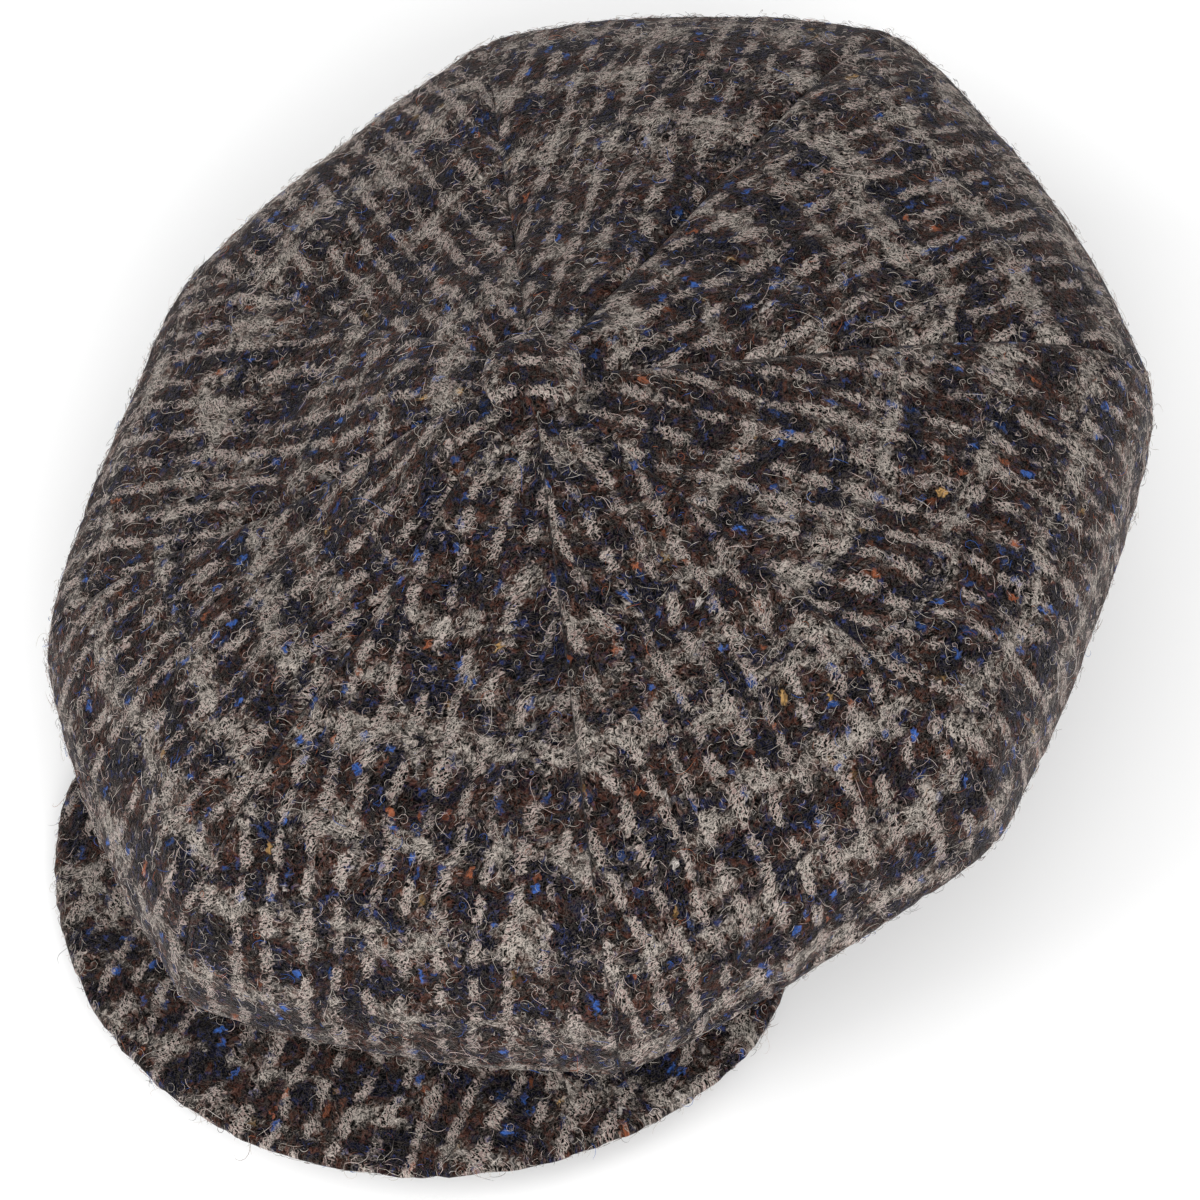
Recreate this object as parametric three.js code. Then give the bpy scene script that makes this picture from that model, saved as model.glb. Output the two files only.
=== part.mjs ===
import * as THREE from 'three';

// Eight-panel cloth cap, lying on a flat surface as it would by itself.
// Millimetres, +Z up. The peak points to -Y and the lower edge of the headband is at z = 0.
// Plan distances are measured from the button in the middle of the crown.

// Head opening, an ellipse for a head of about 58 cm around
const OPENING = { halfWidth: 82, halfLength: 101, centreY: -6 };

// Headband: the upright cloth strip that the panels and the peak are sewn to
const BAND = { wall: 2, height: 24, curveSegments: 48 };

// Crown cloth. The tip is the small hole under the button, and the cloth slopes down round it.
const CLOTH = { wall: 2, seamGap: 0.3, tipHeight: 99, tipRadius: 4, tipFlat: 9, tipSlope: 75 };

// Lower edge of the panels, beside the band. The wall turns upright over the last part of a panel.
const HEM = { height: 18.5, gap: 0.3, turnsFrom: 0.85, turnedBy: 0.95 };

// How round the rim is between two seams: 0 is an octagon, 1 is a circle through its corners
const RIM_ROUNDNESS = 0.2;

// Share of a panel's length that lies above the rim, and the number of steps along and across it
const PANEL_GRID = { upperShare: 0.62, along: 28, across: 7 };

// One row for each seam, from the one nearest the peak's middle and on past the wearer's left.
// azimuth is in degrees. rim is the plan radius of the widest point and height its height.
// top is the height of the full part of the crown, which rises from there to the button.
// fullness is how square the shoulder is above the rim, and sag is how far the underside hangs.
// puff is how far the panel that starts at this seam swells between its two seams.
const SEAMS = [
  { azimuth: 258, rim: 151, height: 20.5, top: 84, fullness: 2.6, sag: 1.9, puff: 2 },
  { azimuth: 300, rim: 146, height: 20.5, top: 86, fullness: 2.6, sag: 1.9, puff: 1 },
  { azimuth: 341, rim: 144, height: 41, top: 93, fullness: 3, sag: 1.7, puff: 1.5 },
  { azimuth: 391, rim: 149, height: 51, top: 95, fullness: 3, sag: 1.6, puff: 3.5 },
  { azimuth: 440, rim: 161, height: 51, top: 93, fullness: 2.8, sag: 1.5, puff: 3.5 },
  { azimuth: 482, rim: 145, height: 49, top: 87, fullness: 2.6, sag: 1.5, puff: 1.2 },
  { azimuth: 527, rim: 122, height: 46, top: 79, fullness: 2.4, sag: 1.5, puff: 1 },
  { azimuth: 579, rim: 131, height: 39, top: 78, fullness: 2.4, sag: 1.7, puff: 3 },
];
const COLUMNS = ['azimuth', 'rim', 'height', 'top', 'fullness', 'sag'];

// Shape of the swell: how quickly it rises beside a seam, and where it ends before the hem
const PUFF_SHAPE = { steepness: 0.7, endShare: 0.9 };

// Shallow dents and folds of the lying cloth. panel counts from 0, across and share say where in
// the panel the middle lies, width and length are shares of the panel, and depth is inwards.
const DENTS = [
  { panel: 0, across: 0.4, share: 0.5, width: 0.4, length: 0.05, depth: 2.2 },
  { panel: 0, across: 0.6, share: 0.24, width: 0.35, length: 0.09, depth: 1.5 },
  { panel: 1, across: 0.35, share: 0.42, width: 0.25, length: 0.1, depth: 1.6 },
  { panel: 3, across: 0.55, share: 0.3, width: 0.3, length: 0.12, depth: 2 },
  { panel: 5, across: 0.4, share: 0.36, width: 0.3, length: 0.12, depth: 2.5 },
  { panel: 6, across: 0.55, share: 0.26, width: 0.35, length: 0.1, depth: 2.5 },
  { panel: 7, across: 0.5, share: 0.45, width: 0.3, length: 0.07, depth: 2.4 },
];

// Peak: a curved board covered in cloth. In plan its front edge is close to half an ellipse about
// centreY, and each side runs back from there to the band at endY. It droops to its sides and front.
const PEAK = {
  thickness: 4,
  halfWidth: 95.5,
  depth: 77.5,
  frontFlatness: 1.25,
  centreY: -94,
  endY: -42,
  endWidth: 1.5,
  sideFullness: 0.6,
  frontShare: 0.72,
  midHeight: 15.5,
  sideDrop: 9.5,
  frontDrop: 4,
  stepsAlong: 36,
  stepsAcross: 7,
  stepsRoundEdge: 4,
};

// Button: a domed disc covered in cloth, seated on the tips of the panels
const BUTTON = {
  radius: 12, footRadius: 10.3, edgeHeight: 2, domeHeight: 5, domeFullness: 0.8, sides: 20, steps: 7,
};

const COLOURS = { brownTweed: 0x52463f, navyTweed: 0x33343f, bandTweed: 0x453c37 };

const mix = (a, b, share) => a + (b - a) * share;
const { degToRad, smoothstep } = THREE.MathUtils;

function indexedGeometry(points, faces) {
  const geometry = new THREE.BufferGeometry();
  geometry.setFromPoints(points);
  geometry.setIndex(faces);
  geometry.computeVertexNormals();
  return geometry;
}

// A solid from rings of points, one after another, whose two end rings are closed by zigzag strips
function closedRingsGeometry(rings) {
  const size = rings[0].length;
  const faces = [];
  for (let row = 0; row + 1 < rings.length; row += 1) {
    for (let k = 0; k < size; k += 1) {
      const a = row * size + k;
      const b = row * size + ((k + 1) % size);
      faces.push(a, b, b + size);
      faces.push(a, b + size, a + size);
    }
  }
  const last = (rings.length - 1) * size;
  for (let i = 0; i + 2 < size; i += 1) {
    const far = size - 1 - Math.floor(i / 2);
    const near = Math.ceil(i / 2);
    const next = i % 2 === 0 ? near + 1 : far - 1;
    faces.push(near, far, next);
    faces.push(last + near, last + next, last + far);
  }
  return indexedGeometry(rings.flat(), faces);
}

// A wall between two grids of the same size: outer[row][column] and inner[row][column]
function wallGeometry(outer, inner) {
  const rows = outer.length;
  const columns = outer[0].length;
  const innerStart = rows * columns;
  const faces = [];
  const quad = (a, b, c, d) => faces.push(a, b, c, a, c, d);
  const edge = (a, b) => quad(a, b, b + innerStart, a + innerStart);
  for (let row = 0; row + 1 < rows; row += 1) {
    const left = row * columns;
    const right = left + columns - 1;
    for (let a = left; a < right; a += 1) {
      const b = innerStart + a;
      quad(a, a + columns, a + columns + 1, a + 1);
      quad(b, b + 1, b + columns + 1, b + columns);
    }
    edge(left + columns, left);
    edge(right, right + columns);
  }
  const lastRow = (rows - 1) * columns;
  for (let column = 0; column + 1 < columns; column += 1) {
    edge(column, column + 1);
    edge(lastRow + column + 1, lastRow + column);
  }
  return indexedGeometry([...outer.flat(), ...inner.flat()], faces);
}

// Plan radius of the head opening's ellipse, seen from the button, grown outwards by a margin
function openingRadius(azimuth, margin) {
  const a = OPENING.halfWidth + margin;
  const b = OPENING.halfLength + margin;
  const squareTerm = (Math.cos(azimuth) / a) ** 2 + (Math.sin(azimuth) / b) ** 2;
  const linearTerm = (OPENING.centreY * Math.sin(azimuth)) / b ** 2;
  const constantTerm = (OPENING.centreY / b) ** 2 - 1;
  return (linearTerm + Math.sqrt(linearTerm ** 2 - squareTerm * constantTerm)) / squareTerm;
}

// A point of the crown's section above one azimuth. share runs from the tip, 0, to the hem, 1.
// Above the rim and below it the section is a quarter of a superellipse.
function sectionPoint(row, azimuth, share) {
  const upper = PANEL_GRID.upperShare;
  let radius;
  let height;
  if (share <= upper) {
    const turn = (share / upper) * (Math.PI / 2);
    const power = 2 / row.fullness;
    radius = mix(CLOTH.tipRadius, row.rim, Math.sin(turn) ** power);
    height = mix(row.height, row.top, Math.max(Math.cos(turn), 0) ** power);
    height += (CLOTH.tipHeight - row.top) * (1 - smoothstep(radius, CLOTH.tipFlat, CLOTH.tipSlope));
  } else {
    const turn = ((share - upper) / (1 - upper)) * (Math.PI / 2);
    const power = 2 / row.sag;
    const hemRadius = openingRadius(azimuth, BAND.wall + HEM.gap);
    radius = mix(hemRadius, row.rim, Math.max(Math.cos(turn), 0) ** power);
    height = mix(row.height, HEM.height, Math.sin(turn) ** power);
  }
  return new THREE.Vector3(radius * Math.cos(azimuth), radius * Math.sin(azimuth), height);
}

function seamRow(index) {
  const turns = Math.floor(index / SEAMS.length);
  const seam = SEAMS[index - turns * SEAMS.length];
  return { ...seam, azimuth: seam.azimuth + 360 * turns };
}

// The seam table read between two seams, as one smooth closed curve for each column
function rowBetween(panel, across) {
  const [before, start, end, after] = [-1, 0, 1, 2].map((step) => seamRow(panel + step));
  const square = across ** 2;
  const cube = across ** 3;
  const row = {};
  for (const column of COLUMNS) {
    const slopeStart = (end[column] - before[column]) / 2;
    const slopeEnd = (after[column] - start[column]) / 2;
    row[column] =
      start[column] * (2 * cube - 3 * square + 1) +
      slopeStart * (cube - 2 * square + across) +
      end[column] * (3 * square - 2 * cube) +
      slopeEnd * (cube - square);
  }
  return row;
}

function roundPoint(panel, across, share) {
  const row = rowBetween(panel, across);
  return sectionPoint(row, degToRad(row.azimuth), share);
}

// Outward direction of the round crown, the same on both sides of a seam.
// It turns straight down at the hem, so that the wall's edge stands upright against the band.
function outward(panel, across, share) {
  const step = 0.01;
  const near = Math.min(Math.max(share, step), 1 - step);
  const along = roundPoint(panel, across, near + step).sub(roundPoint(panel, across, near - step));
  const around = roundPoint(panel, across + step, near).sub(roundPoint(panel, across - step, near));
  const direction = along.cross(around).normalize();
  const atHem = smoothstep(share, HEM.turnsFrom, HEM.turnedBy);
  return direction.lerp(new THREE.Vector3(0, 0, -1), atHem).normalize();
}

// How far the cloth swells out between its seams, less its dents. It is 0 at each seam.
function swell(panel, across, share) {
  const bow = Math.sin(Math.PI * across);
  const along = Math.sin(Math.PI * Math.min(share / PUFF_SHAPE.endShare, 1));
  let height = seamRow(panel).puff * bow ** PUFF_SHAPE.steepness * along;
  for (const dent of DENTS.filter((row) => row.panel === panel)) {
    const aside = (across - dent.across) / dent.width;
    const ahead = (share - dent.share) / dent.length;
    height -= dent.depth * bow * Math.exp(-(aside ** 2) - ahead ** 2);
  }
  return height;
}

// The cloth's outer face: between a straight web and a round crown, with its swell
function crownPoint(panel, across, share) {
  const start = seamRow(panel);
  const end = seamRow(panel + 1);
  const straight = sectionPoint(start, degToRad(start.azimuth), share);
  straight.lerp(sectionPoint(end, degToRad(end.azimuth), share), across);
  const roundness = mix(1, RIM_ROUNDNESS, Math.sin(Math.PI * share));
  const point = straight.lerp(roundPoint(panel, across, share), roundness);
  return point.addScaledVector(outward(panel, across, share), swell(panel, across, share));
}

function panelGeometry(panel) {
  const outer = [];
  const inner = [];
  for (let i = 0; i <= PANEL_GRID.along; i += 1) {
    const share = i / PANEL_GRID.along;
    const width = crownPoint(panel, 0, share).distanceTo(crownPoint(panel, 1, share));
    const margin = CLOTH.seamGap / 2 / width;
    const outerRow = [];
    const innerRow = [];
    for (let j = 0; j <= PANEL_GRID.across; j += 1) {
      const across = mix(margin, 1 - margin, j / PANEL_GRID.across);
      const point = crownPoint(panel, across, share);
      outerRow.push(point);
      innerRow.push(point.clone().addScaledVector(outward(panel, across, share), -CLOTH.wall));
    }
    outer.push(outerRow);
    inner.push(innerRow);
  }
  return wallGeometry(outer, inner);
}

function bandGeometry() {
  const { halfWidth, halfLength, centreY } = OPENING;
  const outline = new THREE.Shape();
  outline.absellipse(0, centreY, halfWidth + BAND.wall, halfLength + BAND.wall, 0, 2 * Math.PI);
  const hole = new THREE.Path();
  hole.absellipse(0, centreY, halfWidth, halfLength, 0, 2 * Math.PI);
  outline.holes.push(hole);
  return new THREE.ExtrudeGeometry(outline, {
    depth: BAND.height, bevelEnabled: false, curveSegments: BAND.curveSegments,
  });
}

// Plan of the peak's edges. side runs from -1, its end at -X, to 1, its end at +X.
function peakInnerEdge(side) {
  const margin = BAND.wall + HEM.gap;
  const length = OPENING.halfLength + margin;
  const turn = side * Math.acos((OPENING.centreY - PEAK.endY) / length);
  return new THREE.Vector2(
    (OPENING.halfWidth + margin) * Math.sin(turn), OPENING.centreY - length * Math.cos(turn));
}

function peakOuterEdge(side) {
  const reach = Math.abs(side);
  if (reach <= PEAK.frontShare) {
    const turn = (side / PEAK.frontShare) * (Math.PI / 2);
    const forward = PEAK.depth * Math.cos(turn) ** PEAK.frontFlatness;
    return new THREE.Vector2(PEAK.halfWidth * Math.sin(turn), PEAK.centreY - forward);
  }
  const end = peakInnerEdge(1);
  end.x += PEAK.endWidth;
  end.y += 2 * PEAK.endWidth;
  const curve = new THREE.QuadraticBezierCurve(
    new THREE.Vector2(PEAK.halfWidth, PEAK.centreY),
    new THREE.Vector2(PEAK.halfWidth, mix(PEAK.centreY, end.y, PEAK.sideFullness)),
    end);
  const point = curve.getPoint((reach - PEAK.frontShare) / (1 - PEAK.frontShare));
  return new THREE.Vector2(Math.sign(side) * point.x, point.y);
}

function peakHeight(plan) {
  const forward = Math.max((PEAK.centreY - plan.y) / PEAK.depth, 0);
  return PEAK.midHeight - PEAK.sideDrop * (plan.x / PEAK.halfWidth) ** 2 - PEAK.frontDrop * forward;
}

// Section of the peak at one place: along its top, round its outer edge and back below
function peakRing(side) {
  const inner = peakInnerEdge(side);
  const outer = peakOuterEdge(side);
  const half = PEAK.thickness / 2;
  const length = inner.distanceTo(outer);
  const flat = Math.max(length - half, half / 4);
  const ring = [];
  const add = (distance, lift) => {
    const plan = inner.clone().lerp(outer, distance / length);
    ring.push(new THREE.Vector3(plan.x, plan.y, peakHeight(plan) + lift));
  };
  for (let i = 0; i <= PEAK.stepsAcross; i += 1) {
    add(flat * (i / PEAK.stepsAcross), half);
  }
  for (let i = 1; i < PEAK.stepsRoundEdge; i += 1) {
    const turn = (i / PEAK.stepsRoundEdge) * Math.PI;
    add(flat + (length - flat) * Math.sin(turn), half * Math.cos(turn));
  }
  for (let i = PEAK.stepsAcross; i >= 0; i -= 1) {
    add(flat * (i / PEAK.stepsAcross), -half);
  }
  return ring;
}

function peakGeometry() {
  const rings = [];
  for (let i = 0; i <= PEAK.stepsAlong; i += 1) {
    rings.push(peakRing(mix(-1, 1, i / PEAK.stepsAlong)));
  }
  return closedRingsGeometry(rings);
}

function buttonGeometry() {
  const seat = CLOTH.tipHeight + HEM.gap;
  const profile = [new THREE.Vector2(0, seat), new THREE.Vector2(BUTTON.footRadius, seat)];
  for (let i = 0; i < BUTTON.steps; i += 1) {
    const turn = (i / BUTTON.steps) * (Math.PI / 2);
    profile.push(new THREE.Vector2(
      BUTTON.radius * Math.cos(turn) ** BUTTON.domeFullness,
      seat + BUTTON.edgeHeight + BUTTON.domeHeight * Math.sin(turn)));
  }
  profile.push(new THREE.Vector2(0, seat + BUTTON.edgeHeight + BUTTON.domeHeight));
  return new THREE.LatheGeometry(profile, BUTTON.sides).rotateX(Math.PI / 2);
}

const cap = new THREE.Group();

function addPiece(name, geometry, colour) {
  const material = new THREE.MeshStandardMaterial({ color: colour, roughness: 1, metalness: 0 });
  const mesh = new THREE.Mesh(geometry, material);
  mesh.name = name;
  cap.add(mesh);
}

SEAMS.forEach((seam, index) => {
  const colour = index % 2 ? COLOURS.navyTweed : COLOURS.brownTweed;
  addPiece(`panel_${index + 1}`, panelGeometry(index), colour);
});
addPiece('button', buttonGeometry(), COLOURS.brownTweed);
addPiece('peak', peakGeometry(), COLOURS.brownTweed);
addPiece('headband', bandGeometry(), COLOURS.bandTweed);

// The origin is under the middle of the cap's box
const middle = new THREE.Box3().setFromObject(cap).getCenter(new THREE.Vector3());
cap.position.set(-middle.x, -middle.y, 0);

export default cap;
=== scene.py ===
"""Eight-panel tweed flat cap: its cloth, seams, button, peak, band and nap, on a plain stage.

Lengths inside the shape functions are millimetres from the middle of the button, as in the part's
source. Meshes are written in metres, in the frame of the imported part.
"""

import math

import bmesh
import bpy
import numpy as np
from mathutils import Matrix, Vector, noise


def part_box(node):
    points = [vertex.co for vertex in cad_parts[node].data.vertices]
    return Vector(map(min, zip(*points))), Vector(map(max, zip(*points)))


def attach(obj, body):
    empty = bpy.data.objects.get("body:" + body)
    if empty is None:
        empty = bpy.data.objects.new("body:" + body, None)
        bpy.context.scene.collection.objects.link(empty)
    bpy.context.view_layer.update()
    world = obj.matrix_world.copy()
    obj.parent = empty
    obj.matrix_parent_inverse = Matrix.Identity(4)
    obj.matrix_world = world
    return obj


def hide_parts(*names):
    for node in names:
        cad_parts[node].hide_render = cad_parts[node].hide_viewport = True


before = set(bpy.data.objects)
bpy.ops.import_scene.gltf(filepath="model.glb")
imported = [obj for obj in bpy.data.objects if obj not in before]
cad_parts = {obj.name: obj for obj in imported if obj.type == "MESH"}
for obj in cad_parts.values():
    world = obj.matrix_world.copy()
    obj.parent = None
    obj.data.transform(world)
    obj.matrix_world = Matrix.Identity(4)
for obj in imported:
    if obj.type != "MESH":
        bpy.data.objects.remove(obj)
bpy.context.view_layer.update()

bl_info = {
    "name": "Tweed flat cap",
    "version": (1, 0, 0),
    "blender": (4, 5, 0),
    "location": "View3D > Sidebar > Flat cap",
    "description": "Builds an eight-panel flat cap of heavy tweed on its packed frame",
    "category": "Add Mesh",
}

MM = 0.001
TINY = 1e-9
WELD = 0.00002
CLOTH_MAP = "cloth"

# The button stands over the middle that every plan distance is measured from
BUTTON_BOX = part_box("button")
MIDDLE = (BUTTON_BOX[0] + BUTTON_BOX[1]) / 2 / MM
MIDDLE = np.array([MIDDLE[0], MIDDLE[1], 0.0])

# Head opening, an ellipse for a head of about 58 cm around
OPENING = {"half_width": 82.0, "half_length": 101.0, "centre_y": -6.0}
BAND = {"wall": 2.0, "height": 24.0, "round": 0.8, "round_steps": 3, "sides": 192}
SHARP_CORNER = 1.0

# The cloth slopes down round the small hole that the button covers
TIP = {"height": 99.0, "radius": 4.0, "flat": 9.0, "slope": 75.0}
HEM = {"height": 18.5, "gap": 0.3, "turns_from": 0.85, "turned_by": 0.95}

RIM_ROUNDNESS = 0.2
UPPER_SHARE = 0.62
PUFF = {"steepness": 0.7, "end_share": 0.9}

# One row for each seam: azimuth in degrees, plan radius of the rim, height of the rim, height of
# the full part, fullness of the shoulder, sag of the underside, and swell of the panel after it
SEAMS = np.array([
    [258, 151, 20.5, 84, 2.6, 1.9, 2.0],
    [300, 146, 20.5, 86, 2.6, 1.9, 1.0],
    [341, 144, 41, 93, 3.0, 1.7, 1.5],
    [391, 149, 51, 95, 3.0, 1.6, 3.5],
    [440, 161, 51, 93, 2.8, 1.5, 3.5],
    [482, 145, 49, 87, 2.6, 1.5, 1.2],
    [527, 122, 46, 79, 2.4, 1.5, 1.0],
    [579, 131, 39, 78, 2.4, 1.7, 3.0],
])
FULL_TURN = 360

# Shallow dents of the lying cloth: panel, place across and along it, width, length and depth
DENTS = [
    (0, 0.4, 0.5, 0.4, 0.05, 2.2),
    (0, 0.6, 0.24, 0.35, 0.09, 1.5),
    (1, 0.35, 0.42, 0.25, 0.1, 1.6),
    (3, 0.55, 0.3, 0.3, 0.12, 2.0),
    (5, 0.4, 0.36, 0.3, 0.12, 2.5),
    (6, 0.55, 0.26, 0.35, 0.1, 2.5),
    (7, 0.5, 0.45, 0.3, 0.07, 2.4),
]

# Grid of a panel, and how far its first columns lie from a seam
PANEL_COLUMNS = 44
PANEL_ROWS = 130
SEAM_STEPS = np.array([0.0, 0.45, 0.95, 1.6, 2.5, 3.9])
SEAM_STEPS_LIMIT = 0.35
SEAM_GAP = 0.1

# Smooth noises, so that each unevenness has its own: seed, size of its waves, height where fixed
PUCKERS = {"seed": 3, "reach": 7.0, "next_seam": 31.0}
WAVES = {"seed": 5, "size": 34.0}
FINE_WAVES = {"seed": 7, "size": 11.0, "height": 0.22}
BOARD_WAVES = {"seed": 11, "size": 16.0, "height": 0.35, "fade": (0.02, 0.2)}
DRIFT = {"seeds": (13, 17), "size": 13.0, "reach": 2.4}
LUMPS = {"seed": 19, "size": 3.2, "fade": (0.5, 4.0)}
FRAY = {"seed": 23, "size": 2.8, "height": 1.6, "from": (0.34, 0.44), "to": (0.54, 0.64)}
NOISE_OFFSET = (17.3, 5.9, 11.7)

# Where a panel's unevenness fades: beside a seam, from its tip, and towards its hem
RELIEF_FADE = {"seam": (2.0, 14.0), "tip": (8.0, 22.0), "hem": (0.86, 0.94)}
RELIEF_STRIDE = 400.0

# Where each panel was cut: places on the cloth, across and along it
PANEL_STRIDE = 410.0
CUT_SHIFTS = [0.0, 0.0, 11.0, -4.0, 7.0, -9.0, 3.0, 12.0]
PEAK_CLOTH = (4005.0, 215.0)
BUTTON_CLOTH = (4995.9, 150.0)
BUTTON_GRAIN = math.radians(21.0)
BAND_CLOTH = (6000.0, 0.0)

PEAK = {
    "thickness": 4.0,
    "half_width": 95.5,
    "depth": 77.5,
    "front_flatness": 1.25,
    "centre_y": -94.0,
    "end_y": -42.0,
    "end_width": 1.5,
    "side_fullness": 0.6,
    "front_share": 0.72,
    "mid_height": 15.5,
    "side_drop": 9.5,
    "front_drop": 4.0,
}
PEAK_ALONG = 150
PEAK_AROUND = 56

# Ways round the peak's section, from 0 to 1: where its top, its edge and its underside end
PEAK_TURNS = {"top": 0.42, "edge": 0.54, "below": 0.96}
FRAY_CENTRE = PEAK["centre_y"] + 30.0

BUTTON = {
    "radius": 12.0,
    "foot_radius": 10.3,
    "edge_height": 2.0,
    "dome_height": 5.0,
    "dome_fullness": 0.8,
    "sides": 72,
    "steps": 16,
}


def mix(low, high, share):
    return low + (high - low) * share


def smooth_step(value, low, high):
    share = np.clip((value - low) / (high - low), 0.0, 1.0)
    return share * share * (3 - 2 * share)


def unit(vectors):
    length = np.linalg.norm(vectors, axis=-1, keepdims=True)
    return vectors / np.maximum(length, TINY)


# Shape of the crown, the same as in the part's source


def opening_radius(azimuth, margin):
    """Plan radius of the head opening's ellipse, grown by a margin, seen from the button."""
    across = OPENING["half_width"] + margin
    along = OPENING["half_length"] + margin
    centre = OPENING["centre_y"]
    square_term = (np.cos(azimuth) / across) ** 2 + (np.sin(azimuth) / along) ** 2
    linear_term = centre * np.sin(azimuth) / along**2
    constant_term = (centre / along) ** 2 - 1
    root = np.sqrt(linear_term**2 - square_term * constant_term)
    return (linear_term + root) / square_term


def section_point(row, share):
    """A point of the crown's section. share runs from the tip, 0, to the hem, 1."""
    degrees, rim, height, top, fullness, sag = row[:6]
    azimuth = np.radians(degrees)
    above = share <= UPPER_SHARE
    part = np.where(above, share / UPPER_SHARE, (share - UPPER_SHARE) / (1 - UPPER_SHARE))
    sine = np.sin(part * math.pi / 2)
    cosine = np.maximum(np.cos(part * math.pi / 2), 0.0)
    upper_radius = mix(TIP["radius"], rim, sine ** (2 / fullness))
    upper_height = mix(height, top, cosine ** (2 / fullness))
    slope = 1 - smooth_step(upper_radius, TIP["flat"], TIP["slope"])
    upper_height = upper_height + (TIP["height"] - top) * slope
    hem_radius = opening_radius(azimuth, BAND["wall"] + HEM["gap"])
    lower_radius = mix(hem_radius, rim, cosine ** (2 / sag))
    lower_height = mix(height, HEM["height"], sine ** (2 / sag))
    radius = np.where(above, upper_radius, lower_radius)
    level = np.where(above, upper_height, lower_height)
    return np.stack([radius * np.cos(azimuth), radius * np.sin(azimuth), level], axis=-1)


def seam_row(index):
    turns, place = divmod(index, len(SEAMS))
    row = SEAMS[place].copy()
    row[0] += FULL_TURN * turns
    return row


def row_between(panel, across):
    """The seam table read between two seams, as one smooth closed curve for each column."""
    before, start, end, after = (seam_row(panel + step)[:, None] for step in (-1, 0, 1, 2))
    square, cube = across**2, across**3
    return (
        start * (2 * cube - 3 * square + 1)
        + (end - before) / 2 * (cube - 2 * square + across)
        + end * (3 * square - 2 * cube)
        + (after - start) / 2 * (cube - square)
    )


def round_point(panel, across, share):
    return section_point(row_between(panel, across), share)


def outward(panel, across, share):
    """Outward direction of the round crown, which turns straight down at the hem."""
    step = 0.01
    near = np.clip(share, step, 1 - step)
    along = round_point(panel, across, near + step) - round_point(panel, across, near - step)
    around = round_point(panel, across + step, near) - round_point(panel, across - step, near)
    direction = unit(np.cross(along, around))
    at_hem = smooth_step(share, HEM["turns_from"], HEM["turned_by"])[:, None]
    return unit(mix(direction, np.array([0.0, 0.0, -1.0]), at_hem))


def swell(panel, across, share):
    """How far the cloth swells out between its seams, less its dents."""
    bow = np.sin(math.pi * np.clip(across, 0, 1))
    along = np.sin(math.pi * np.minimum(share / PUFF["end_share"], 1.0))
    height = seam_row(panel)[6] * bow ** PUFF["steepness"] * along
    for place, middle, ahead, width, length, depth in DENTS:
        if place == panel:
            aside = (across - middle) / width
            forward = (share - ahead) / length
            height = height - depth * bow * np.exp(-(aside**2) - forward**2)
    return height


def crown_point(panel, across, share):
    """The cloth's outer face: between a straight web and a round crown, with its swell."""
    start = section_point(seam_row(panel)[:, None], share)
    end = section_point(seam_row(panel + 1)[:, None], share)
    straight = mix(start, end, across[:, None])
    roundness = mix(1.0, RIM_ROUNDNESS, np.sin(math.pi * share))[:, None]
    point = mix(straight, round_point(panel, across, share), roundness)
    return point + outward(panel, across, share) * swell(panel, across, share)[:, None]


class PanelPattern:
    """One panel laid flat: its width and its length from the tip, at each share of its length."""

    def __init__(self, panel):
        self.shares = np.linspace(0, 1, PANEL_ROWS + 1)
        left, middle, right = (
            crown_point(panel, np.full_like(self.shares, across), self.shares)
            for across in (0.0, 0.5, 1.0)
        )
        half = np.linalg.norm(middle - left, axis=1) + np.linalg.norm(right - middle, axis=1)
        self.widths = half
        steps = np.linalg.norm(np.diff(middle, axis=0), axis=1)
        self.lengths = np.concatenate([[0.0], np.cumsum(steps)])

    def share_at(self, place):
        """Share of the panel's length for a place from 0 to 1, evenly spaced on the cloth."""
        return np.interp(place * self.lengths[-1], self.lengths, self.shares)

    def width(self, share):
        return np.interp(share, self.shares, self.widths)

    def length(self, share):
        return np.interp(share, self.shares, self.lengths)


def column_place(column, width):
    """Share across a panel for a column from 0 to 1, with close columns beside its two seams."""
    count = len(SEAM_STEPS) - 1
    reach = np.minimum(SEAM_STEPS[-1], SEAM_STEPS_LIMIT * width)
    scale = reach / SEAM_STEPS[-1]
    from_edge = np.minimum(column, 1 - column) * PANEL_COLUMNS
    near = np.interp(from_edge, np.arange(count + 1), SEAM_STEPS) * scale
    middle_columns = PANEL_COLUMNS / 2 - count
    far = reach + (width / 2 - reach) * (from_edge - count) / middle_columns
    distance = SEAM_GAP / 2 + np.where(from_edge <= count, near, far) * (1 - SEAM_GAP / width)
    return np.where(column <= 0.5, distance / width, 1 - distance / width)


def noise_at(points, seed, size):
    """Smooth noise between about -1 and 1 at points in millimetres."""
    offset = Vector([seed * step for step in NOISE_OFFSET])
    return np.array([noise.noise(Vector(point) / size + offset) for point in points])


def on_plane(x, y):
    return np.stack([x, y, np.zeros_like(x)], axis=-1)


def drifted(cloth):
    """A cloth map pulled a little out of line, as loose tweed is."""
    flat = on_plane(cloth[:, 0], cloth[:, 1])
    pull = [noise_at(flat, seed, DRIFT["size"]) for seed in DRIFT["seeds"]]
    return cloth + np.stack(pull, axis=-1) * DRIFT["reach"]


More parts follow.
